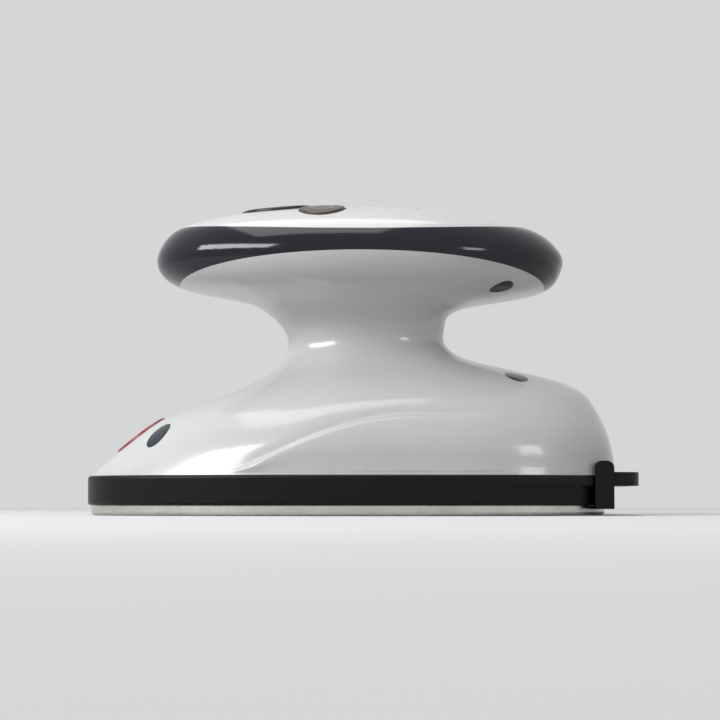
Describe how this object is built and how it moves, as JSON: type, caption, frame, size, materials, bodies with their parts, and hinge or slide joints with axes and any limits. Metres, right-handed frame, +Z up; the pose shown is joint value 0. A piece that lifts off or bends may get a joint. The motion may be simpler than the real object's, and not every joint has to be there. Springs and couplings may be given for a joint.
{
  "type": "mini steam iron",
  "caption": "Small steam iron with a mushroom-shaped handle bowl on a narrow waist, a black heel-rest skirt, a top dial and buttons, and a coiled mains cord.",
  "frame": {"origin": "middle of the iron's length and width, on the ironing surface", "axes": "+Z up, -X towards the nose, +Y towards the side where the cord leaves"},
  "size_m": [0.14, 0.2223, 0.0796],
  "materials": {
    "shell_white": "gloss",
    "ring_navy": "gloss",
    "skirt_black": "satin",
    "sole_metal": "brushed",
    "button_dark": "gloss",
    "button_brown": "gloss",
    "dial_green": "satin",
    "plug_dark": "gloss",
    "filler_red": "gloss",
    "lamp_red": "gloss",
    "cord_grey": "matte",
    "plug_grey": "satin",
    "nickel": "gloss",
    "screw_steel": "satin",
    "element_steel": "satin",
    "spring_steel": "gloss",
    "ceramic": "matte",
    "silicone": "matte",
    "tank_clear": "gloss",
    "carrier_grey": "matte",
    "switch_black": "matte",
    "brass": "satin",
    "wire_sleeve": "matte"
  },
  "bodies": {
    "iron": {"housing": "shell_white", "handle_ring": "ring_navy", "handle_cover": "shell_white", "heat_shield_skirt": "skirt_black", "soleplate": "sole_metal", "base_screw_plugs_nose": "plug_dark", "base_screw_plugs_tail": "plug_dark", "handle_screw_plugs": "plug_dark", "base_screws": "screw_steel", "carrier_screws": "screw_steel", "handle_screws": "screw_steel", "heating_element": "element_steel", "pin_insulators": "ceramic", "element_pins": "nickel", "chamber_seal": "silicone", "steam_chamber_lid": "sole_metal", "thermostat": "ceramic", "thermal_fuse": "brass", "fuse_clamp": "spring_steel", "indicator_lamps": "lamp_red", "steam_button_spring": "spring_steel", "power_button_spring": "spring_steel", "steam_lock_button_spring": "spring_steel", "control_carrier": "carrier_grey", "power_switch": "switch_black", "steam_lock_latch": "switch_black", "water_tank": "tank_clear", "drip_nozzle": "brass", "rod_grommet": "silicone", "terminal_block": "ceramic", "cord_saddle": "carrier_grey", "inner_wires": "wire_sleeve", "cord_stub": "cord_grey", "bend_relief": "cord_grey", "supply_cord": "cord_grey", "cord_coil": "cord_grey", "plug_lead": "cord_grey", "plug_body": "plug_grey", "plug_pins": "nickel", "plug_earth_clips": "nickel"},
    "steam_button": {"steam_button": "button_dark", "valve_rod": "screw_steel"},
    "power_button": {"power_button": "button_brown"},
    "steam_lock_button": {"steam_lock_button": "button_brown"},
    "temperature_dial": {"temperature_dial": "dial_green", "dial_spindle": "screw_steel"},
    "filler_plug": {"filler_plug": "filler_red", "filler_seal": "silicone"}
  },
  "joints": [
    {"name": "steam_button_press", "type": "slide", "parent": "iron", "child": "steam_button", "axis": [0, 0, -1], "range_m": [0, 0.0025], "stiffness_N_per_m": 600, "springref_m": -0.002, "deforming": ["steam_button_spring"]},
    {"name": "power_button_press", "type": "slide", "parent": "iron", "child": "power_button", "axis": [0, 0, -1], "range_m": [0, 0.0012], "stiffness_N_per_m": 600, "springref_m": -0.001, "deforming": ["power_button_spring"]},
    {"name": "steam_lock_button_press", "type": "slide", "parent": "iron", "child": "steam_lock_button", "axis": [0, 0, -1], "range_m": [0, 0.0012], "stiffness_N_per_m": 600, "springref_m": -0.001, "deforming": ["steam_lock_button_spring"]},
    {"name": "temperature_dial_turn", "type": "hinge", "parent": "iron", "child": "temperature_dial", "pos_m": [0.0062, 0, 0.075], "axis": [0, 0, 1], "range_deg": [0, 270]},
    {"name": "filler_plug_pull", "type": "slide", "parent": "iron", "child": "filler_plug", "axis": [-0.6293, 0, 0.7771], "range_m": [0, 0.012]}
  ]
}
